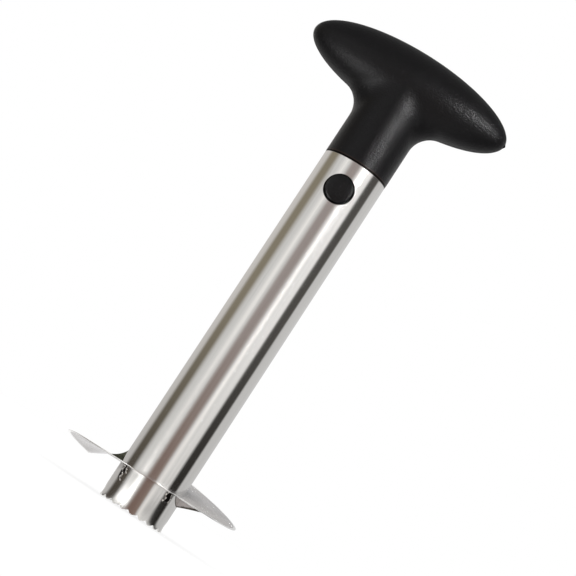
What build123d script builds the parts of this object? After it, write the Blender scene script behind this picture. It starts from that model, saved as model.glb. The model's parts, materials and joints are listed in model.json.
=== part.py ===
from build123d import *
import math
import os

# Pineapple slicer, millimetres. Z runs up the core tube, the tooth tips stand on Z = 0, the bar of
# the handle lies along X and one push button faces -Y, the other +Y.

# Core tube
tube_diameter = 32.0
tube_wall = 0.8
tube_length = 186.3
tooth_count = 21
tooth_depth = 1.5
tooth_tip_width = 0.6
tooth_lean_share = 0.57     # where a notch is deepest, as a share of its width
tooth_gullet_radius = 0.3
front_tooth_angle = 275.8   # degrees counter-clockwise from +X, seen from the handle
button_drop = 14.9          # centre of the button holes below the upper rim of the tube
button_hole_clearance = 0.85    # tube hole wider than the button, each side

# Slicing blade: a ring welded to the tube, split at the back
blade_diameter = 86.6
blade_thickness = 0.6
blade_height = 17.4         # middle of its level front part above the tooth tips
blade_front_rise = 1.1      # how much the level part climbs from the left to the right
blade_lead_drop = 4.6       # outer corner of the leading edge below the level part
blade_tail_rise = 9.8       # trailing end above the level part
blade_bevel_width = 1.3     # ground band along the rim, on both faces
blade_edge_thickness = 0.15
blade_fit = 0.02            # solder line between the blade and the tube
lead_angle = 141.0          # degrees counter-clockwise from +X, seen from the handle
lead_ramp_angle = 80.0      # over which the leading edge drops
tail_angle = 470.0          # trailing end, most of a turn further
tail_ramp_angle = 145.0     # over which the trailing end climbs
lead_grind_angle = 2.0      # bevel of the leading edge
lead_fold_share = 0.56      # share of the blade's width that stays level at the leading edge
blade_section_count = 32

# Braces between the blade and the tube
brace_thickness = 0.9
upper_brace_reach = 6.4
upper_brace_height = 7.2
upper_brace_angle = 168.0
lower_brace_reach = 12.3
lower_brace_height = 4.9
lower_brace_angle = 352.0
upper_hollow_share = 0.40   # how far the free edge curves in: 0.5 is straight
lower_hollow_share = 0.47

# Tack welds under the blade
tack_diameter = 1.7
tack_spacing = 1.3
tack_zigzag = 0.4
tack_beads = 5
tack_angles = [215.0, 311.0, 415.0]

# Handle: two moulded shells that meet on Y = 0 and end below in a plug
handle_half_length = 51.6
bar_radius = 16.6
bar_height = 46.5           # axis of the bar above the tube's rim
neck_blend = 12.0           # fillet between the neck, as wide as the tube, and the bar
neck_foot_chamfer = 0.4     # makes the dark line between the neck and the tube's rim
shell_wall = 2.4
plug_clearance = 0.2
plug_length = 36.0
chamber_half_width = 9.2
chamber_half_depth = 10.5
chamber_roof = 4.0          # how far the plug's chamber runs up past the rim
split_clearance = 0.02
boss_diameter = 6.0
boss_pin_diameter = 2.6
boss_pin_length = 3.0
boss_pin_clearance = 0.15
boss_spread_share = 0.58    # of the bar's half-length

# Cap that binds the two halves of the plug
cap_floor = 2.0
cap_skirt = 6.0
cap_skirt_wall = 1.1
cap_clearance = 0.05

# Push buttons and the spring between them
button_diameter = 12.7
button_proud = 1.5
button_dome = 0.5
button_edge_radius = 0.9
button_flange_diameter = 16.4
button_flange = 1.5
button_guide_clearance = 0.2
spigot_diameter = 4.0
button_travel = 4.0
spigot_gap = 3.9            # between the spigots with both buttons pressed
spring_diameter = 7.2
spring_wire = 0.8
spring_wire_sides = 8       # the hidden wire's section is an octagon
spring_turns = 6.5
spring_clearance = 0.05

overrun = 5.0               # how far a cutting tool runs past what it cuts

tube_radius = tube_diameter / 2
tube_bore_radius = tube_radius - tube_wall
blade_radius = blade_diameter / 2
blade_inner_radius = tube_radius + blade_fit
button_radius = button_diameter / 2
button_hole_radius = button_radius + button_hole_clearance
button_height = tube_length - button_drop
plug_radius = tube_bore_radius - plug_clearance
plug_bottom = tube_length - plug_length
chamber_top = tube_length + chamber_roof


def core_tube():
    """Straight tube with a ring of leaning teeth below and two button holes above."""
    tube = Cylinder(tube_radius, tube_length, align=(Align.CENTER, Align.CENTER, Align.MIN))
    tube -= Cylinder(tube_bore_radius, 3 * tube_length)
    notch_width = math.pi * tube_diameter / tooth_count - tooth_tip_width
    left, right = -notch_width / 2, notch_width / 2
    deepest = left + tooth_lean_share * notch_width
    outline = Polyline(     # both flanks run on below the tips by the depth of a notch
        (deepest, tooth_depth), (2 * left - deepest, -tooth_depth), (2 * right - deepest, -tooth_depth),
        close=True,
    )
    notch = make_face(outline)
    notch = fillet(notch.vertices().sort_by(Axis.Y)[-1], tooth_gullet_radius)
    notch = extrude(Plane.YZ * notch, tube_radius + overrun)
    tube -= Part() + [
        Rot(0, 0, front_tooth_angle + 360 * (tooth + 0.5) / tooth_count) * notch
        for tooth in range(tooth_count)
    ]
    hole = Rot(90, 0, 0) * Cylinder(button_hole_radius, tube_diameter + overrun)
    return tube - Pos(0, 0, button_height) * hole


def blade_middle(angle, radius):
    """Height of the middle of the blade's sheet at an angle and a radius."""
    height = blade_height + blade_front_rise / 2 * radius / blade_radius * math.cos(math.radians(angle))
    lead = max(0, 1 - (angle - lead_angle) / lead_ramp_angle)
    fold_radius = blade_inner_radius + lead_fold_share * (blade_radius - blade_inner_radius)
    outside_fold = max(0, radius - fold_radius) / (blade_radius - fold_radius)
    height -= blade_lead_drop * lead ** 2 * outside_fold
    tail = max(0, (angle - tail_angle + tail_ramp_angle) / tail_ramp_angle)
    return height + blade_tail_rise * (1 - math.cos(math.pi * tail)) / 2


def blade_section(angle):
    """Upright radial section of the blade, ground along the rim and at the leading edge."""
    grind = min(1, (angle - lead_angle) / lead_grind_angle)
    thickness = blade_edge_thickness + grind * (blade_thickness - blade_edge_thickness)
    fold_radius = blade_inner_radius + lead_fold_share * (blade_radius - blade_inner_radius)
    bevel_radius = blade_radius - blade_bevel_width
    rim_height = blade_middle(angle, blade_radius)
    rim = [(blade_radius, rim_height + side * blade_edge_thickness / 2) for side in (-1, 1)]
    radii = (blade_inner_radius, fold_radius, bevel_radius)
    middles = [(radius, blade_middle(angle, radius)) for radius in radii]
    under = [(radius, height - thickness / 2) for radius, height in middles]
    over = [(radius, height + thickness / 2) for radius, height in reversed(middles)]
    outward = Vector(1, 0, 0).rotate(Axis.Z, angle)
    plane = Plane(origin=(0, 0, 0), x_dir=outward, z_dir=outward.rotate(Axis.Z, -90))
    return plane * make_face(Polyline(*under, *rim, *over, close=True))


def slicing_blade():
    """Ring of sheet steel, level in front, its split ends bent down and up at the back."""
    ground = lead_angle + lead_grind_angle
    step = (tail_angle - ground) / (blade_section_count - 1)
    angles = [lead_angle] + [ground + step * section for section in range(blade_section_count)]
    return loft([blade_section(angle) for angle in angles])


def brace(angle, reach, height, hollow_share, blade):
    """Small upright web in the corner between the tube and the blade, hollow along its free edge."""
    side = 1 if height > 0 else -1
    foot = blade_middle(angle, tube_radius)
    toe = (tube_radius + reach, blade_middle(angle, tube_radius + reach) + side * blade_thickness)
    top = (tube_radius, foot + height)
    hollow = (
        tube_radius + hollow_share * reach,
        foot + hollow_share * height + side * blade_thickness / 2,
    )
    outline = Polyline(top, (tube_radius, foot), (toe[0], foot), toe) + ThreePointArc(toe, hollow, top)
    web = Plane.XZ * make_face(outline)
    web = extrude(web, brace_thickness / 2, both=True)
    web = Rot(0, 0, angle) * web
    return web - blade - Cylinder(tube_radius, 3 * tube_length)


def tack_welds(blade):
    """Short zigzag runs of weld beads down the tube from the underside of the blade."""
    welds = []
    for angle in tack_angles:
        run = Part()
        for bead in range(tack_beads):
            height = blade_middle(angle, tube_radius) - blade_thickness - (bead + 0.5) * tack_spacing
            swing = tack_zigzag if bead % 2 else -tack_zigzag
            run += Rot(0, 0, angle) * Pos(tube_radius, swing, height) * Sphere(tack_diameter / 2)
        welds.append(run - blade - Cylinder(tube_radius, 3 * tube_length))
    return welds


def handle_form(inset, foot):
    """T form of the handle down to the height foot, or with an inset the hollow inside its wall."""
    bar_outline = Ellipse(handle_half_length - inset, bar_radius - inset)
    upper_half = Rectangle(2 * handle_half_length, bar_radius, align=(Align.CENTER, Align.MIN))
    bar = revolve(bar_outline & upper_half, Axis.X)
    bar_axis_height = tube_length + bar_height
    up = (Align.CENTER, Align.CENTER, Align.MIN)
    neck = Cylinder(tube_radius - inset, bar_axis_height - foot, align=up)
    form = Pos(0, 0, bar_axis_height) * bar + Pos(0, 0, foot) * neck
    seam = form.edges().filter_by(GeomType.BSPLINE)
    return fillet(seam, neck_blend + inset)


def handle_shell(side, form, hollow):
    """One of the two shells: side is -1 for the front and 1 for the rear."""
    shell = form - hollow
    boss_spread = boss_spread_share * handle_half_length
    boss_places = [Pos(x, 0, tube_length + bar_height) for x in (-boss_spread, boss_spread)]
    across = Rot(90, 0, 0)
    for place in boss_places:
        shell += place * across * Cylinder(boss_diameter / 2, tube_diameter + overrun) & form
    shaft_length = plug_length - cap_floor
    shaft_bottom = plug_bottom + cap_floor
    up = (Align.CENTER, Align.CENTER, Align.MIN)
    waist_radius = plug_radius - cap_skirt_wall - cap_clearance
    shell += Pos(0, 0, shaft_bottom) * Cylinder(waist_radius, shaft_length, align=up)
    shell += Pos(0, 0, shaft_bottom + cap_skirt) * Cylinder(plug_radius, shaft_length - cap_skirt, align=up)
    chamber_length = chamber_top - shaft_bottom
    shell -= Pos(0, 0, shaft_bottom) * Box(
        2 * chamber_half_width, 2 * chamber_half_depth, chamber_length, align=up,
    )
    window = across * Cylinder(button_radius + button_guide_clearance, tube_diameter + overrun)
    shell -= Pos(0, 0, button_height) * window
    reach = tube_diameter
    half = Pos(0, side * (reach + split_clearance), tube_length) * Box(
        3 * handle_half_length, 2 * reach, 3 * (bar_height + bar_radius),
    )
    shell &= half
    pin_radius = boss_pin_diameter / 2
    pin = across * Cylinder(pin_radius, 2 * boss_pin_length)
    socket = across * Cylinder(pin_radius + boss_pin_clearance, 2 * (boss_pin_length + boss_pin_clearance))
    for place in boss_places:
        shell = shell + place * pin if side < 0 else shell - place * socket
    return shell


def plug_end_cap():
    """Cup that holds the lower ends of the two plug halves together and closes their chamber."""
    up = (Align.CENTER, Align.CENTER, Align.MIN)
    cup = Cylinder(plug_radius, cap_floor + cap_skirt, align=up)
    cup -= Pos(0, 0, cap_floor) * Cylinder(plug_radius - cap_skirt_wall, cap_skirt + overrun, align=up)
    rim = cup.edges().filter_by(GeomType.CIRCLE).group_by(Axis.Z)[0]
    cup = chamfer(rim, cap_skirt_wall / 2)
    return Pos(0, 0, plug_bottom) * cup


def push_button(side):
    """Domed button with a flange that stops it behind the plug's wall and a spigot for the spring."""
    face = tube_radius + button_proud
    seat = chamber_half_depth - spring_clearance
    back = seat - button_flange
    tip = button_travel + spigot_gap / 2
    edge = face - button_dome
    dome = ThreePointArc((0, face), (button_radius / 2, face - button_dome / 4), (button_radius, edge))
    side_line = Polyline(
        (button_radius, edge),
        (button_radius, seat),
        (button_flange_diameter / 2, seat),
        (button_flange_diameter / 2, back),
        (spigot_diameter / 2, back),
        (spigot_diameter / 2, tip),
        (0, tip),
        (0, face),
    )
    profile = make_face(dome + side_line)
    corner = profile.vertices().sort_by(lambda v: (v.X - button_radius) ** 2 + (v.Y - edge) ** 2)[0]
    profile = fillet(corner, button_edge_radius)
    button = revolve(profile, Axis.Y)
    turn = 0 if side > 0 else 180
    return Pos(0, 0, button_height) * Rot(0, 0, turn) * button


def button_spring():
    """Coil spring along Y between the two button flanges."""
    back = chamber_half_depth - spring_clearance - button_flange
    span = 2 * (back - spring_clearance) - spring_wire
    coil = Helix(pitch=span / spring_turns, height=span, radius=(spring_diameter - spring_wire) / 2)
    section = Plane(coil @ 0, z_dir=coil % 0) * RegularPolygon(spring_wire / 2, spring_wire_sides)
    spring = sweep(section, path=coil, is_frenet=True)
    return Pos(0, 0, button_height) * Rot(90, 0, 0) * Pos(0, 0, -span / 2) * spring


blade = slicing_blade()
handle = handle_form(0, tube_length)
neck_foot = handle.edges().filter_by(GeomType.CIRCLE).sort_by(Axis.Z)[0]
handle = chamfer(neck_foot, neck_foot_chamfer)
handle_hollow = handle_form(shell_wall, chamber_top)
nodes = {
    "core_tube": core_tube(),
    "slicing_blade": blade,
    "upper_blade_brace": brace(
        upper_brace_angle, upper_brace_reach, upper_brace_height, upper_hollow_share, blade,
    ),
    "lower_blade_brace": brace(
        lower_brace_angle, lower_brace_reach, -lower_brace_height, lower_hollow_share, blade,
    ),
    "blade_tack_welds": Compound(tack_welds(blade)),
    "handle_front_shell": handle_shell(-1, handle, handle_hollow),
    "handle_rear_shell": handle_shell(1, handle, handle_hollow),
    "plug_end_cap": plug_end_cap(),
    "button_front": push_button(-1),
    "button_rear": push_button(1),
    "button_spring": button_spring(),
}

os.makedirs("parts", exist_ok=True)
for name, shape in nodes.items():
    export_step(shape, "parts/" + name + ".step")
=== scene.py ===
import json
import math
import bpy
import numpy as np
from mathutils import Matrix, Vector


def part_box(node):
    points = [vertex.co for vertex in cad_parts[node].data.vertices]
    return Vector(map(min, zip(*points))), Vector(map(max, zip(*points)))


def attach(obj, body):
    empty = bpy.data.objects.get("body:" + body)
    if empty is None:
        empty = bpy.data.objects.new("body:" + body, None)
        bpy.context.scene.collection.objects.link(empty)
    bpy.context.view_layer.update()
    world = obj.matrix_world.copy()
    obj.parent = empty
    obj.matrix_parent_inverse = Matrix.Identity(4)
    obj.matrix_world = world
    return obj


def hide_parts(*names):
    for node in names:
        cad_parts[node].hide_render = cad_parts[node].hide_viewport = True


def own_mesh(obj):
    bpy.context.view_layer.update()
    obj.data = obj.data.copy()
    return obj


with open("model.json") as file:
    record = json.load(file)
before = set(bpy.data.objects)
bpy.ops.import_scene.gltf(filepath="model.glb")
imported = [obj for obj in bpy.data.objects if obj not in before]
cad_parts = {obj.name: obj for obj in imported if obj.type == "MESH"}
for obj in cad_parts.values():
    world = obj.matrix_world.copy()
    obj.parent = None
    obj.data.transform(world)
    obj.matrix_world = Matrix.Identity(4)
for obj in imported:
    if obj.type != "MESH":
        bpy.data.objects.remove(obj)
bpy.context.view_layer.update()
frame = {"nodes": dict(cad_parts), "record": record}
nodes = frame["nodes"]
print("frame loaded")


class Flow:
    # one output socket; sums and products written on it add Math nodes to its tree
    def __init__(self, tree, socket=None):
        self.tree = tree
        self.socket = socket

    def node(self, kind, settings=None, sockets=None, out=0):
        # any node: settings first (stops fill a ramp), then numbers, colours or links on its sockets
        made = self.tree.nodes.new(kind)
        for name, value in (settings or {}).items():
            if name == "stops":
                self.fillRamp(made.color_ramp, value)
            else:
                setattr(made, name, value)
        for name, value in (sockets or {}).items():
            self.put(made.inputs[name], value)
        return Flow(self.tree, made.outputs[out])

    def put(self, socket, value):
        if isinstance(value, Flow):
            self.tree.links.new(value.socket, socket)
        elif socket.type == "RGBA" and len(value) == 3:
            socket.default_value = (*value, 1)
        else:
            socket.default_value = value

    def fillRamp(self, ramp, stops):
        for place, colour in stops[2:]:
            ramp.elements.new(place)
        for element, (place, colour) in zip(ramp.elements, stops):
            element.position = place
            element.color = (*colour, 1)

    def maths(self, operation, *values):
        return self.node("ShaderNodeMath", {"operation": operation}, dict(enumerate(values)))

    def __add__(self, other):
        return self.maths("ADD", self, other)

    def __radd__(self, other):
        return self.maths("ADD", other, self)

    def __sub__(self, other):
        return self.maths("SUBTRACT", self, other)

    def __rsub__(self, other):
        return self.maths("SUBTRACT", other, self)

    def __mul__(self, other):
        return self.maths("MULTIPLY", self, other)

    def __rmul__(self, other):
        return self.maths("MULTIPLY", other, self)

    def __truediv__(self, other):
        return self.maths("DIVIDE", self, other)

    def __rtruediv__(self, other):
        return self.maths("DIVIDE", other, self)

    def __pow__(self, other):
        return self.maths("POWER", self, other)


noiseMean = 0.5


def newFinish(name, fixed):
    # a material with one Principled surface; fixed holds the values that are the same all over
    material = bpy.data.materials.new(name)
    material.use_nodes = True
    tree = material.node_tree
    surface = tree.nodes["Principled BSDF"]
    for socket, value in fixed.items():
        surface.inputs[socket].default_value = (*value, 1) if isinstance(value, tuple) else value
    flow = Flow(tree)
    place = flow.node("ShaderNodeTexCoord", out=3)
    return material, surface, flow, place


def blendColours(flow, share, first, second):
    # first where share is 0, second where it is 1
    return flow.node("ShaderNodeMix", {"data_type": "RGBA"}, {0: share, 6: first, 7: second}, 2)


def stretched(flow, place, scale):
    # the place times a scale of its own on each axis
    return flow.node("ShaderNodeMapping", {}, {"Vector": place, "Scale": scale})


def noise(flow, place, scale, detail):
    # from 0 to 1, mostly near noiseMean
    return flow.node("ShaderNodeTexNoise", {}, {"Vector": place, "Scale": scale, "Detail": detail})


def raised(flow, height, strength, depth):
    # a normal bent by a height from 0 to 1, as deep as depth in metres
    return flow.node("ShaderNodeBump", {}, {"Strength": strength, "Distance": depth, "Height": height})


def acrossPlan(flow, place):
    # the place's x and y
    x = flow.node("ShaderNodeSeparateXYZ", {}, {"Vector": place})
    return x, Flow(flow.tree, x.socket.node.outputs["Y"])


def fromAxis(flow, place):
    # distance from the tool's axis: the root of x squared and y squared
    x, y = acrossPlan(flow, place)
    return (x * x + y * y) ** 0.5


def heightOf(flow, place):
    # the place's z
    return flow.node("ShaderNodeSeparateXYZ", {}, {"Vector": place}, 2)


def between(flow, value, low, high, kind="LINEAR"):
    # 0 below low, 1 above high, straight or smooth in between
    limits = {"Value": value, "From Min": low, "From Max": high}
    return flow.node("ShaderNodeMapRange", {"interpolation_type": kind}, limits)


def window(flow, value, start, end, soft):
    # 1 from start to end, fading smoothly to 0 over soft on each side
    rise = between(flow, value, start - soft, start + soft, "SMOOTHSTEP")
    return rise * (1 - between(flow, value, end - soft, end + soft, "SMOOTHSTEP"))


def dress(node, material):
    # gives a CAD node its one material
    mesh = nodes[node].data
    mesh.materials.clear()
    mesh.materials.append(material)


tubeRadius = 0.016

# brushed tube: streaks along Z, with a little colour and roughness in them
tubeFinish = {
    "colour": (0.81, 0.795, 0.775),
    "streakColour": (0.70, 0.685, 0.665),
    "streakScale": (1500, 1500, 12),
    "smearScale": (220, 220, 30),           # larger, fainter marks of handling
    "roughness": 0.11,
    "streakRoughness": 0.10,
    "smearRoughness": 0.08,
    "smearMean": 0.4,                       # the smear at which the roughness is as given
    "streakDepth": 0.000012,
    "streakBump": 0.5,
    "rimShade": (0.006, 0.005, 0.0045),     # dark line under the handle's shoulder
    "rimShadeHeights": (0.18555, 0.18575),
    "rimShadeRoughness": 0.55,
    "weldSoot": (0.030, 0.026, 0.024),
    "sootEdge": (0.6, 1.1),                 # where a spot's edge starts and ends, as shares of its size
    "sootWander": 0.8,                      # how far the smears push that edge
    "sootRoughness": 0.25,
    "weldSootPlaces": [
        # angle and height of the middle, half width and half height of the tint round a weld
        (221.5, 0.0140, 0.0017, 0.0042),
        (314.0, 0.0152, 0.0024, 0.0036),
        (55.0, 0.0209, 0.0020, 0.0042),
    ],
}


def weldSoot(flow, place, smear):
    # the most of a soft spot at each weld: 1 in the middle, 0 past the edge of a stretched ball round it
    t = tubeFinish
    spots = None
    for angle, height, width, reach in t["weldSootPlaces"]:
        turn = math.radians(angle)
        middle = (tubeRadius * math.cos(turn), tubeRadius * math.sin(turn), height)
        away = flow.node("ShaderNodeVectorMath", {"operation": "SUBTRACT"}, {0: place, 1: middle})
        size = (width, width, reach)
        away = flow.node("ShaderNodeVectorMath", {"operation": "DIVIDE"}, {0: away, 1: size})
        length = flow.node("ShaderNodeVectorMath", {"operation": "LENGTH"}, {0: away}, 1)
        spot = 1 - between(flow, length + t["sootWander"] * (smear - noiseMean), *t["sootEdge"], "SMOOTHSTEP")
        spots = spot if spots is None else spots.maths("MAXIMUM", spots, spot)
    return spots


def makeTubeSteel():
    # two stretched noises: the streaks change colour, gloss and surface, the smears the gloss alone
    t = tubeFinish
    material, surface, flow, place = newFinish("tubeSteel", {"Metallic": 1.0})
    streak = noise(flow, stretched(flow, place, t["streakScale"]), 1, detail=3)
    smear = noise(flow, stretched(flow, place, t["smearScale"]), 1, detail=2)
    soot = weldSoot(flow, place, smear)
    rim = between(flow, heightOf(flow, place), *t["rimShadeHeights"])
    colour = blendColours(flow, streak, t["colour"], t["streakColour"])
    colour = blendColours(flow, soot, colour, t["weldSoot"])
    flow.put(surface.inputs["Base Color"], blendColours(flow, rim, colour, t["rimShade"]))
    roughness = t["roughness"] + t["streakRoughness"] * (streak - noiseMean)
    roughness = roughness + t["smearRoughness"] * (smear - t["smearMean"]) + t["sootRoughness"] * soot
    flow.put(surface.inputs["Roughness"], roughness + rim * (t["rimShadeRoughness"] - roughness))
    flow.put(surface.inputs["Normal"], raised(flow, streak, t["streakBump"], t["streakDepth"]))
    return material


# blade sheet: satin faces with faint rings from turning, a polished ground band along the rim that is also
# painted near white as a painted reflection, and a painted highlight on the leading end
bladeFinish = {
    "colour": (0.65, 0.64, 0.645),
    "ringColour": (0.58, 0.57, 0.575),
    # the ground band's colour is raised near white: a painted reflection
    "bandReflectionColour": (0.95, 0.94, 0.93),
    "roughness": 0.28,
    "ringRoughness": 0.10,
    "bandRoughness": 0.14,
    "endHighlightColour": (0.88, 0.87, 0.875),       # painted highlight: the leading end is painted brighter
    "endHighlightPlaces": (-0.0285, -0.0365),        # where along X that starts and is whole
    "bandRadii": (0.04195, 0.04205),        # from the axis, where the band starts and is whole
    "ringScale": 5200,
    "ringDepth": 0.000008,
    "ringBump": 0.4,
    "cloudScale": 160,                      # broad dull patches
    "cloudRoughness": 0.12,
}


def makeBladeSteel():
    # rings are a noise of the distance from the axis alone; beyond a radius the ground band takes over,
    # painted near white as a painted reflection; towards -X a painted highlight brightens the sheet
    t = bladeFinish
    material, surface, flow, place = newFinish("bladeSteel", {"Metallic": 1.0})
    radius = fromAxis(flow, place)
    ringSockets = {"W": radius * t["ringScale"], "Scale": 1, "Detail": 3}
    rings = flow.node("ShaderNodeTexNoise", {"noise_dimensions": "1D"}, ringSockets)
    cloud = noise(flow, place, t["cloudScale"], detail=2)
    band = between(flow, radius, *t["bandRadii"])
    sheet = blendColours(flow, rings, t["colour"], t["ringColour"])
    x = acrossPlan(flow, place)[0]
    # painted highlight: the sheet brightens towards the leading end, along -X
    sheet = blendColours(flow, between(flow, x, *t["endHighlightPlaces"]), sheet, t["endHighlightColour"])
    flow.put(surface.inputs["Base Color"], blendColours(flow, band, sheet, t["bandReflectionColour"]))
    roughness = t["roughness"] + t["ringRoughness"] * (rings - noiseMean)
    roughness = roughness + t["cloudRoughness"] * (cloud - noiseMean)
    flow.put(surface.inputs["Roughness"], roughness + band * (t["bandRoughness"] - roughness))
    flow.put(surface.inputs["Normal"], raised(flow, rings, t["ringBump"], t["ringDepth"]))
    return material


# braces: steel; over the blade a painted shade in near black olive, under it a pale painted highlight with a
# dark lower edge
braceFinish = {
    # painted shade: the upper brace, seen from under it, is painted near black olive
    "above": (0.075, 0.078, 0.058),
    # painted highlight: the lower brace is painted pale, near white
    "below": (0.86, 0.81, 0.79),
    "edge": (0.085, 0.072, 0.055),
    "edgeHeight": 0.0141,       # at the tube; under this line the lower brace is dark
    "edgeClimb": 0.44,          # rise of the line for each metre outwards
    "edgeSoft": 0.0003,
    "edgeWander": 0.0012,       # how far the mottle pushes the line up and down
    "bladeHeight": 0.0175,      # parts the two braces
    "roughness": 0.42,
    "belowMetal": 0.1,          # the lower brace is mostly not metallic, so its painted highlight reads as pale paint
    "mottleScale": 900,
    "mottleRoughness": 0.2,
    "mottleDepth": 0.00004,
    "mottleBump": 0.4,
}


def makeBraceSteel():
    # the colour changes at a line that climbs outwards from the tube, and again at the blade's height: under
    # it the painted highlight, over it the painted shade
    t = braceFinish
    material, surface, flow, place = newFinish("braceSteel", {"Metallic": 1.0})
    mottle = noise(flow, place, t["mottleScale"], detail=3)
    height = heightOf(flow, place)
    line = t["edgeHeight"] + t["edgeClimb"] * (fromAxis(flow, place) - tubeRadius)
    line = line + t["edgeWander"] * (mottle - noiseMean)
    edge = between(flow, height - line, t["edgeSoft"], -t["edgeSoft"])
    below = blendColours(flow, edge, t["below"], t["edge"])
    isAbove = height.maths("GREATER_THAN", height, t["bladeHeight"])
    flow.put(surface.inputs["Base Color"], blendColours(flow, isAbove, below, t["above"]))
    flow.put(surface.inputs["Metallic"], t["belowMetal"] + (1 - t["belowMetal"]) * isAbove)
    flow.put(surface.inputs["Roughness"], t["roughness"] + t["mottleRoughness"] * (mottle - noiseMean))
    flow.put(surface.inputs["Normal"], raised(flow, mottle, t["mottleBump"], t["mottleDepth"]))
    return material


# weld metal: bright beads with a sooty edge
weldFinish = {
    "bright": (0.92, 0.90, 0.86),
    "soot": (0.10, 0.095, 0.085),
    "sootEnds": 0.36,       # in the grain, from 0 to 1
    "brightStarts": 0.5,
    "roughness": 0.22,
    "grainScale": 1700,
    "grainRoughness": 0.2,
    "grainDepth": 0.00008,
    "grainBump": 0.7,
}


def makeWeldSteel():
    # one grain of noise: its hollows are sooty, its crests bright and raised
    t = weldFinish
    material, surface, flow, place = newFinish("weldSteel", {"Metallic": 1.0})
    grain = noise(flow, place, t["grainScale"], detail=3)
    stops = [(t["sootEnds"], t["soot"]), (t["brightStarts"], t["bright"])]
    ramp = flow.node("ShaderNodeValToRGB", {"stops": stops}, {"Fac": grain})
    flow.put(surface.inputs["Base Color"], ramp)
    flow.put(surface.inputs["Roughness"], t["roughness"] + t["grainRoughness"] * (grain - noiseMean))
    flow.put(surface.inputs["Normal"], raised(flow, grain, t["grainBump"], t["grainDepth"]))
    return material


# spring wire: drawn steel
wireFinish = {
    "colour": (0.55, 0.55, 0.56),
    "dullColour": (0.44, 0.44, 0.448),
    "roughness": 0.3,
    "grainScale": 4000,
    "grainRoughness": 0.15,
}


def makeWireSteel():
    # a fine grain of noise dulls the wire's colour and changes its gloss
    t = wireFinish
    material, surface, flow, place = newFinish("wireSteel", {"Metallic": 1.0})
    grain = noise(flow, place, t["grainScale"], detail=2)
    flow.put(surface.inputs["Base Color"], blendColours(flow, grain, t["colour"], t["dullColour"]))
    flow.put(surface.inputs["Roughness"], t["roughness"] + t["grainRoughness"] * (grain - noiseMean))
    return material


# mould's texture on all the plastics, made of a fine and a coarse grain
mouldTexture = {
    "fineShare": 0.65,      # of the two grains, the rest is the coarse one
    "coarseSize": 2,        # in grains
    "wornShare": 1.6,       # how much brighter the crests are
    "roughness": 0.16,
}

# black plastics: colour, roughness and the size and depth of the mould's texture in metres
plasticFinishes = {
    "handlePlastic": {
        "colour": (0.0058, 0.0055, 0.0060), "roughness": 0.34, "specular": 0.15,
        "grain": 0.0007, "depth": 0.00036, "strength": 0.6,
        # painted reflection: a brown line at the neck's foot; from and to which height, and its softness
        "footReflectionColour": (0.050, 0.028, 0.020), "footReflectionHeights": (0.18675, 0.18695, 0.0001),
    },
    "buttonPlastic": {
        "colour": (0.0050, 0.0050, 0.0054), "roughness": 0.24, "specular": 0.26,
        "grain": 0.0004, "depth": 0.00001, "strength": 0.3,
    },
    "plugPlastic": {
        "colour": (0.0075, 0.0075, 0.0080), "roughness": 0.45, "specular": 0.25,
        "grain": 0.0012, "depth": 0.00003, "strength": 0.3,
    },
}


def makePlastic(name):
    # two noises of the mould's texture, fine and twice as coarse, raise the surface and change its gloss
    t = plasticFinishes[name]
    m = mouldTexture
    material, surface, flow, place = newFinish(name, {"Specular IOR Level": t["specular"]})
    fine = noise(flow, place, 1 / t["grain"], detail=2)
    coarse = noise(flow, place, 1 / (m["coarseSize"] * t["grain"]), detail=1)
    texture = m["fineShare"] * fine + (1 - m["fineShare"]) * coarse
    worn = tuple(m["wornShare"] * part for part in t["colour"])
    colour = blendColours(flow, texture, t["colour"], worn)
    # painted reflection: a brown line painted round the neck's foot
    if "footReflectionHeights" in t:
        foot = window(flow, heightOf(flow, place), *t["footReflectionHeights"])
        colour = blendColours(flow, foot, colour, t["footReflectionColour"])
    flow.put(surface.inputs["Base Color"], colour)
    flow.put(surface.inputs["Roughness"], t["roughness"] + m["roughness"] * (texture - noiseMean))
    flow.put(surface.inputs["Normal"], raised(flow, texture, t["strength"], t["depth"]))
    return material


finishes = {
    "core_tube": makeTubeSteel(),
    "slicing_blade": makeBladeSteel(),
    "upper_blade_brace": makeBraceSteel(),
    "blade_tack_welds": makeWeldSteel(),
    "button_spring": makeWireSteel(),
    "handle_front_shell": makePlastic("handlePlastic"),
    "plug_end_cap": makePlastic("plugPlastic"),
    "button_front": makePlastic("buttonPlastic"),
}
finishes["lower_blade_brace"] = finishes["upper_blade_brace"]
finishes["handle_rear_shell"] = finishes["handle_front_shell"]
finishes["button_rear"] = finishes["button_front"]
for name, material in finishes.items():
    dress(name, material)
print("finishes made")


def sweptSkin(rings):
    # rings of points joined to a closed skin, with one flat face at each end; the faces are turned
    # where the triple products of their first three corners, seen from the middle, add up to less than 0
    rows, columns = rings.shape[:2]
    index = np.arange(rows * columns).reshape(rows, columns)
    after = np.roll(index, -1, 1)
    sides = np.stack([index[:-1], after[:-1], after[1:], index[1:]], -1).reshape(-1, 4)
    points = rings.reshape(-1, 3)
    middle = points.mean(0)
    corners = points[sides] - middle
    volume = np.einsum("ij,ij->i", corners[:, 0], np.cross(corners[:, 1], corners[:, 2])).sum()
    faces = sides.tolist() + [index[0, ::-1].tolist(), index[-1].tolist()]
    if volume < 0:
        faces = [face[::-1] for face in faces]
    return points, faces


def newObject(name, mesh, material):
    # puts a mesh with its one material in the scene
    mesh.materials.append(material)
    piece = bpy.data.objects.new(name, mesh)
    bpy.context.scene.collection.objects.link(piece)
    return piece


def makePiece(name, parts, material):
    # one object of several closed skins, which rides with the tool
    points, faces, start = [], [], 0
    for partPoints, partFaces in parts:
        points.append(partPoints)
        faces += [[start + corner for corner in face] for face in partFaces]
        start += len(partPoints)
    mesh = bpy.data.meshes.new(name)
    mesh.from_pydata(np.concatenate(points).tolist(), [], faces)
    mesh.validate()
    mesh.polygons.foreach_set("use_smooth", [True] * len(mesh.polygons))
    piece = newObject(name, mesh, material)
    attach(piece, "tool")
    return piece


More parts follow.
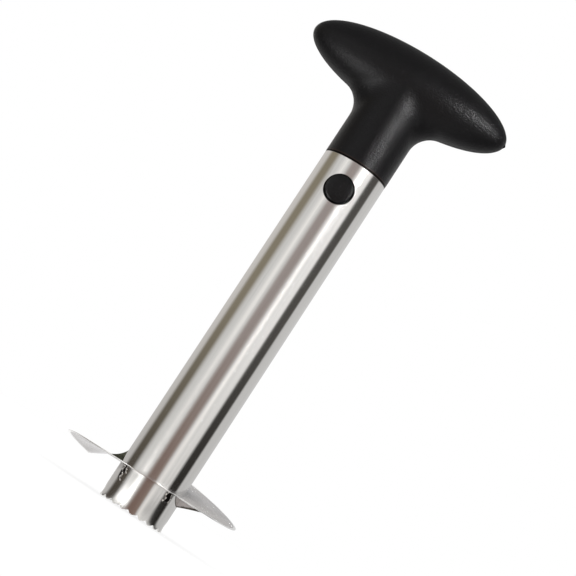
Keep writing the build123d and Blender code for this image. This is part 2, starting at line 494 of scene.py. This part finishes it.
# parting ridge: where the two shells of the handle meet, with the small mark of the mould's gate
partingRidge = {
    "barHalfLength": 0.0516,
    "barRadius": 0.0166,
    "barHeight": 0.2328,
    "blend": 0.012,
    "neckFoot": 0.1869,
    "halfWidth": 0.00026,
    "height": 0.00010,
    "markAngle": -1.2,      # on the bar's ellipse, degrees from its right end
    "markReach": 0.0007,    # along the ridge
    "markHeight": 0.00055,
    "markHalfWidth": 0.0006,
    "sides": 10,
    "neckSteps": 16,        # points along each stretch of the line
    "blendSteps": 24,
    "barSteps": 721,
    "barStride": 4,         # of these, every fourth is kept
    "touchGap": 0.01,       # radians left free after the blend's end
}


def handleOutline():
    # right half of the handle's outline on Y = 0, from the neck's foot to the top: the neck's straight line,
    # the blend's circle that touches it and the ellipse, and the ellipse itself; with the outward directions
    t = partingRidge
    turn = np.linspace(-math.pi / 2, math.pi / 2, t["barSteps"])
    height = t["barHeight"] + t["barRadius"] * np.sin(turn)
    ellipse = np.stack([t["barHalfLength"] * np.cos(turn), height], -1)
    out = np.stack([np.cos(turn) / t["barHalfLength"], np.sin(turn) / t["barRadius"]], -1)
    out /= np.linalg.norm(out, axis=1, keepdims=True)
    lower = turn <= 0
    centres = ellipse + t["blend"] * out
    touch = np.interp(tubeRadius + t["blend"], centres[lower, 0], turn[lower])
    centre = np.array([np.interp(touch, turn, centres[:, axis]) for axis in (0, 1)])
    touchOut = np.array([np.interp(touch, turn, out[:, axis]) for axis in (0, 1)])
    arc = np.linspace(math.pi, math.atan2(-touchOut[1], -touchOut[0]), t["blendSteps"])
    arcDirection = np.stack([np.cos(arc), np.sin(arc)], -1)
    neck = np.linspace(t["neckFoot"], centre[1], t["neckSteps"])[:-1]
    neckLine = np.stack([tubeRadius + 0 * neck, neck], -1)
    neckOut = np.stack([1 + 0 * neck, 0 * neck], -1)
    bar = turn > touch + t["touchGap"]
    line = np.concatenate([neckLine, centre + t["blend"] * arcDirection, ellipse[bar][::t["barStride"]]])
    outward = np.concatenate([neckOut, -arcDirection, out[bar][::t["barStride"]]])
    return line, outward


def makePartingRidge():
    # a flat ellipse across the outline, half of it under the surface; it swells to a bell curve at the mark
    t = partingRidge
    line, outward = handleOutline()
    line = np.concatenate([line, line[-2::-1] * (-1, 1)])
    outward = np.concatenate([outward, outward[-2::-1] * (-1, 1)])
    turn = math.radians(t["markAngle"])
    mark = (t["barHalfLength"] * math.cos(turn), t["barHeight"] + t["barRadius"] * math.sin(turn))
    bell = np.exp(-(np.linalg.norm(line - mark, axis=1) / t["markReach"]) ** 2)[:, None]
    around = np.linspace(0, 2 * math.pi, t["sides"], endpoint=False)
    rise = (t["height"] + bell * t["markHeight"]) * np.sin(around)
    across = (t["halfWidth"] + bell * t["markHalfWidth"]) * np.cos(around)
    x = line[:, :1] + outward[:, :1] * rise
    z = line[:, 1:] + outward[:, 1:] * rise
    skin = sweptSkin(np.stack([x, across, z], -1))
    makePiece("parting_ridge", [skin], finishes["handle_front_shell"])


makePartingRidge()
print("parting ridge made")


# weld strands: thin wavy runs of weld metal down the tube from the blade
weldStrands = {
    "sides": 8,
    "steps": 60,
    "strands": [
        # angle at the top and bottom, height at the top and bottom, swing across, waves, phase, radius
        (217.5, 227.0, 0.01700, 0.00985, 0.00042, 2.1, 0.4, 0.00030),
        (224.5, 229.5, 0.01695, 0.01350, 0.00018, 1.2, 1.5, 0.00020),
        (308.0, 309.5, 0.01730, 0.01230, 0.00040, 1.7, 1.2, 0.00031),
        (317.5, 320.5, 0.01740, 0.01260, 0.00022, 1.6, 2.6, 0.00021),
        (52.0, 55.5, 0.02400, 0.01750, 0.00042, 2.1, 0.4, 0.00030),
        (58.5, 60.5, 0.02400, 0.01850, 0.00020, 1.4, 2.0, 0.00021),
    ],
    "blob": 0.38,       # share by which the radius swells and shrinks
    "blobsPerWave": 2.0,
    "sunk": 0.3,        # share of the thickness that lies in the tube's wall
    "taper": 12,        # the run thins over its last twelfth
    "tip": 0.15,        # to the root of this share of its radius
}


def weldStrand(top, bottom, high, low, swing, waves, phase, radius):
    # a line on the tube that sways as a sine while it runs down; its radius swells twice in a wave
    # and shrinks at the lower end as the root of what is left of the run
    t = weldStrands
    share = np.linspace(0, 1, t["steps"])
    sway = swing * np.sin(2 * math.pi * waves * share + phase) / tubeRadius
    turn = np.radians(top + (bottom - top) * share) + sway
    height = high + (low - high) * share
    size = radius * (1 + t["blob"] * np.sin(2 * math.pi * waves * t["blobsPerWave"] * share + 2 * phase))
    size = size * np.clip(t["taper"] * (1 - share), t["tip"], 1) ** 0.5
    outward = np.stack([np.cos(turn), np.sin(turn), 0 * turn], -1)
    distance = tubeRadius + size * (1 - 2 * t["sunk"])
    line = outward * distance[:, None] + np.stack([0 * turn, 0 * turn, height], -1)
    along = np.gradient(line, axis=0)
    across = np.cross(outward, along)
    across /= np.linalg.norm(across, axis=1, keepdims=True)
    around = np.linspace(0, 2 * math.pi, t["sides"], endpoint=False)[:, None]
    spread = np.cos(around) * across[:, None] + np.sin(around) * outward[:, None]
    return sweptSkin(line[:, None] + size[:, None, None] * spread)


def makeWeldStrands():
    strands = [weldStrand(*strand) for strand in weldStrands["strands"]]
    piece = makePiece("weld_strands", strands, finishes["blade_tack_welds"])
    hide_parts("blade_tack_welds")


makeWeldStrands()
print("weld strands made")


# spring between the buttons: one coil along Y in two halves
coilSpring = {
    "wire": 0.0008,
    "turns": 6.5,
    "stepsPerTurn": 32,
    "sides": 12,
    "halves": [
        # piece, joint, shares of the coil's length where the half starts and ends
        ("spring_rear_half", "rear_button_push", 0.0, 0.5),
        ("spring_front_half", "front_button_push", 0.5, 1.0),
    ],
}


def springHalf(start, end, radius, span, height):
    # a helix along Y between two shares of its length, swept by the wire's circle
    t = coilSpring
    share = np.linspace(start, end, round(t["turns"] * (end - start) * t["stepsPerTurn"]) + 1)
    turn = 2 * math.pi * t["turns"] * share
    outward = np.stack([np.cos(turn), 0 * turn, np.sin(turn)], -1)
    line = radius * outward + np.stack([0 * turn, span * (0.5 - share), height + 0 * turn], -1)
    across = np.cross(np.gradient(line, axis=0), outward)
    across /= np.linalg.norm(across, axis=1, keepdims=True)
    around = np.linspace(0, 2 * math.pi, t["sides"], endpoint=False)[:, None]
    spread = np.cos(around) * outward[:, None] + np.sin(around) * across[:, None]
    return sweptSkin(line[:, None] + t["wire"] / 2 * spread)


def makeSpring():
    # the wire's middle line fills the CAD coil's box less one wire
    t = coilSpring
    low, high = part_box("button_spring")
    radius = (high[0] - low[0] - t["wire"]) / 2
    height = (low[2] + high[2]) / 2
    span = high[1] - low[1] - t["wire"]
    travels = {joint["name"]: joint["range_m"][1] for joint in frame["record"]["behaviour"]["joints"]}
    for name, joint, start, end in t["halves"]:
        half = springHalf(start, end, radius, span, height)
        piece = makePiece(name, [half], finishes["button_spring"])
        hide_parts("button_spring")
        1 - travels[joint] / high[1]
        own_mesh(piece)


makeSpring()
print("spring made")


# studio: angles in degrees, azimuth from the camera's side towards its right, lengths in metres
studio = {
    "cameraPlace": (0.06496, -0.81909, 0.01512),
    "cameraAzimuth": 4.26,
    "cameraElevation": -7.51,
    "cameraRoll": 33.18,
    "lens": 114.24,             # in millimetres, as the sensor's width
    "sensorWidth": 36,
    "viewDepth": 50,
    "ambient": 0.8,
    "floorSize": 8.0,
    "floorColour": 0.93,
    "floorSeenColour": 0.22,    # under the light of seenGlow, for a white floor with a soft shadow
    "seenGlow": 0.84,
    "floorRings": (0.0168, 0.05, 0.3, 0.8),     # the reflected floor's circles, from the tube outwards
    "wallRadius": 1.35,
    "domeTop": 89.9,            # elevation where the dome ends
    "surroundLift": 0.0003,     # over the floor that the camera sees
    "surroundRows": 40,
    "surroundColumns": 145,
    "wallBase": ((0.74, 0.74, 0.73), (0.74, 0.74, 0.735)),
    "panels": [
        # from and to azimuth, softness, colour at the floor, colour higher up
        (-400, -112, 10, (0.58, 0.57, 0.56), (0.68, 0.66, 0.64)),
        (-113, -73, 11, (0.075, 0.065, 0.055), (0.28, 0.25, 0.19)),
        (-44, -31, 10, (0.9, 0.89, 0.88), (1.08, 1.07, 1.05)),
        (-21, 11.5, 8, (0.22, 0.15, 0.125), (0.38, 0.335, 0.32)),
        (18, 31, 7, (0.92, 0.90, 0.88), (1.34, 1.33, 1.32)),
        (34, 61, 6, (0.80, 0.79, 0.78), (0.97, 0.97, 0.97)),
        (62, 97, 6, (0.02, 0.018, 0.016), (0.09, 0.085, 0.08)),
        (100, 400, 7, (0.62, 0.62, 0.62), (0.68, 0.68, 0.68)),
    ],
    "panelHeights": (0.0, 0.26),        # where the lower colour ends and the higher one starts
    "domeColour": (0.28, 0.28, 0.28),
    "domeHeights": (0.68, 0.78),
    "highlights": [
        # azimuths with softness, heights with softness, distances with softness, colour
        ((30, 80, 8), (-1, 0.01, 0.005), (0.22, 0.55, 0.06), (0.06, 0.06, 0.06)),
        ((2, 13, 3), (-1, 0.03, 0.02), (-1, 2, 0.1), (0.24, 0.17, 0.14)),
        ((33, 62, 8), (0.54, 0.90, 0.03), (1, 2, 0.1), (6.0, 6.0, 6.0)),
        ((28, 40, 4), (0.62, 0.90, 0.03), (1, 2, 0.1), (10.0, 10.0, 10.0)),
        ((27, 34, 3), (0.54, 0.60, 0.02), (1, 2, 0.1), (290.0, 290.0, 290.0)),
        ((-64, -26, 6), (-1, 0.01, 0.005), (0.12, 0.46, 0.03), (2.6, 2.6, 2.6)),
        ((-42, -28, 4), (-1, 0.01, 0.005), (0.26, 0.42, 0.05), (12.0, 12.0, 12.0)),
        ((-68, -44, 5), (-1, 0.01, 0.005), (0.13, 0.27, 0.03), (3.2, 3.2, 3.2)),
        ((152, 400, 12), (-1, 0.01, 0.005), (0, 0.33, 0.08), (1.2, 1.2, 1.2)),
        ((-400, -152, 12), (-1, 0.01, 0.005), (0, 0.33, 0.08), (1.2, 1.2, 1.2)),
    ],
    "boxAim": (0, 0, 0.12),     # every box lamp faces this point
    "boxes": [
        # azimuth, elevation, distance, width, height, radiance
        (29, 31, 1.45, 0.5, 0.5, 3.0),
    ],
}


def outwards(azimuth, elevation):
    # from the object's foot outwards: azimuth turns from the camera's side, elevation from level
    turn = np.radians(np.asarray(azimuth) + studio["cameraAzimuth"])
    lift = np.radians(elevation)
    return np.stack([np.sin(turn) * np.cos(lift), -np.cos(turn) * np.cos(lift), np.sin(lift) + 0 * turn], -1)


def gridMesh(name, points):
    # a grid of points, rows by columns, as quads
    rows, columns = points.shape[:2]
    index = np.arange(rows * columns).reshape(rows, columns)
    faces = np.stack([index[:-1, :-1], index[:-1, 1:], index[1:, 1:], index[1:, :-1]], -1).reshape(-1, 4)
    mesh = bpy.data.meshes.new(name)
    mesh.from_pydata(points.reshape(-1, 3).tolist(), [], faces.tolist())
    mesh.validate()
    return mesh


def emitter(name):
    # an emission alone; gives its material, a Flow for its tree, the place and the shader
    material = bpy.data.materials.new(name)
    material.use_nodes = True
    tree = material.node_tree
    tree.nodes.clear()
    flow = Flow(tree)
    shine = flow.node("ShaderNodeEmission")
    out = tree.nodes.new("ShaderNodeOutputMaterial")
    flow.put(out.inputs["Surface"], shine)
    return material, flow, flow.node("ShaderNodeTexCoord", out=3), shine.socket.node


def placeCard(name, points, material):
    # a card is seen in reflections alone
    card = newObject(name, gridMesh(name, points), material)
    card.visible_camera = card.visible_diffuse = card.visible_shadow = card.visible_transmission = False


def makeSurround():
    # floor and dome round the foot: a circle's radius and height carried round a full turn;
    # the panels are laid over the base colour by azimuth, the highlights by azimuth, height and distance
    s = studio
    material, flow, place, shine = emitter("surroundGlow")
    x, y = acrossPlan(flow, place)
    azimuth = x.maths("ARCTAN2", x, 0 - y) * math.degrees(1) - s["cameraAzimuth"]
    height = heightOf(flow, place)
    distance = flow.node("ShaderNodeVectorMath", {"operation": "LENGTH"}, {0: place}, 1)
    rise = between(flow, height, *s["panelHeights"])
    colour = blendColours(flow, rise, *s["wallBase"])
    for start, end, soft, low, high in s["panels"]:
        panel = blendColours(flow, rise, low, high)
        colour = blendColours(flow, window(flow, azimuth, start, end, soft), colour, panel)
    colour = blendColours(flow, between(flow, height, *s["domeHeights"]), colour, s["domeColour"])
    for turns, heights, distances, glow in s["highlights"]:
        mask = window(flow, azimuth, *turns) * window(flow, height, *heights)
        mask = mask * window(flow, distance, *distances)
        colour = blendColours(flow, mask, colour, glow)
    flow.put(shine.inputs["Color"], colour)
    lift = np.radians(np.linspace(0, s["domeTop"], s["surroundRows"]))
    radius = np.concatenate([s["floorRings"], s["wallRadius"] * np.cos(lift)])[:, None]
    level = np.concatenate([0 * np.array(s["floorRings"]), s["wallRadius"] * np.sin(lift)])[:, None]
    turn = np.radians(np.linspace(0, 360, s["surroundColumns"]))
    points = [radius * np.sin(turn), -radius * np.cos(turn), level + s["surroundLift"] + 0 * turn]
    placeCard("surround", np.stack(points, -1), material)


def makeBoxes():
    # a flat lamp's power is pi times its radiance and its area
    for number, (azimuth, elevation, distance, width, height, radiance) in enumerate(studio["boxes"]):
        lamp = bpy.data.lights.new("box_%d" % number, "AREA")
        lamp.shape = "RECTANGLE"
        lamp.size, lamp.size_y = width, height
        lamp.energy = radiance * math.pi * width * height
        box = bpy.data.objects.new("box_%d" % number, lamp)
        place = Vector(outwards(azimuth, elevation) * distance)
        box.location = place
        box.rotation_euler = (place - Vector(studio["boxAim"])).to_track_quat("Z", "Y").to_euler()
        bpy.context.scene.collection.objects.link(box)


def seenRay(flow):
    # 1 for what the camera sees straight, reflected or through glass, 0 for the light that falls on things
    camera = flow.node("ShaderNodeLightPath")
    glossy = Flow(flow.tree, camera.socket.node.outputs["Is Glossy Ray"])
    through = Flow(flow.tree, camera.socket.node.outputs["Is Transmission Ray"])
    kinds = camera + glossy + through
    return kinds.maths("MINIMUM", kinds, 1)


def makeFloor():
    # to the camera a grey paint under a glow of its own, white with a soft shadow; to the light a pale one
    half = studio["floorSize"] / 2
    across = np.linspace(-half, half, 3)
    x, y = np.meshgrid(across, across)
    mesh = gridMesh("floor", np.stack([x, y, 0 * x], -1))
    matt = {"Roughness": 1.0, "Specular IOR Level": 0.0, "Emission Color": (1.0, 1.0, 1.0)}
    material, surface, flow, place = newFinish("floorPaint", matt)
    seen = seenRay(flow)
    grey = studio["floorColour"] + (studio["floorSeenColour"] - studio["floorColour"]) * seen
    paint = flow.node("ShaderNodeCombineColor", {}, {0: grey, 1: grey, 2: grey})
    flow.put(surface.inputs["Base Color"], paint)
    flow.put(surface.inputs["Emission Strength"], studio["seenGlow"] * seen)
    newObject("floor", mesh, material)


def makeWorld():
    # white where it is seen, a little less as light
    world = bpy.data.worlds.new("studio")
    bpy.context.scene.world = world
    world.use_nodes = True
    tree = world.node_tree
    flow = Flow(tree)
    background = tree.nodes["Background"]
    background.inputs["Color"].default_value = (1, 1, 1, 1)
    flow.put(background.inputs["Strength"], studio["ambient"] + (1 - studio["ambient"]) * seenRay(flow))


def makeCamera():
    # looks along the opposite of back; right and up are turned by the roll about it
    angles = ("cameraAzimuth", "cameraElevation", "cameraRoll")
    turn, lift, roll = (math.radians(studio[angle]) for angle in angles)
    back = Vector((math.sin(turn) * math.cos(lift), -math.cos(turn) * math.cos(lift), math.sin(lift)))
    right = (-back).cross(Vector((0, 0, 1))).normalized()
    up = right.cross(-back)
    rolledRight = math.cos(roll) * right + math.sin(roll) * up
    rolledUp = -math.sin(roll) * right + math.cos(roll) * up
    camera = bpy.data.objects.new("camera", bpy.data.cameras.new("camera"))
    camera.data.lens = studio["lens"]
    camera.data.sensor_width = studio["sensorWidth"]
    camera.data.sensor_fit = "HORIZONTAL"
    camera.data.clip_end = studio["viewDepth"]
    matrix = Matrix((rolledRight, rolledUp, back)).transposed().to_4x4()
    matrix.translation = studio["cameraPlace"]
    camera.matrix_world = matrix
    bpy.context.scene.collection.objects.link(camera)
    bpy.context.scene.camera = camera


makeSurround()
makeBoxes()
makeFloor()
makeWorld()
makeCamera()
bpy.context.scene.view_settings.view_transform = "Standard"
print("studio made")

bpy.context.view_layer.update()
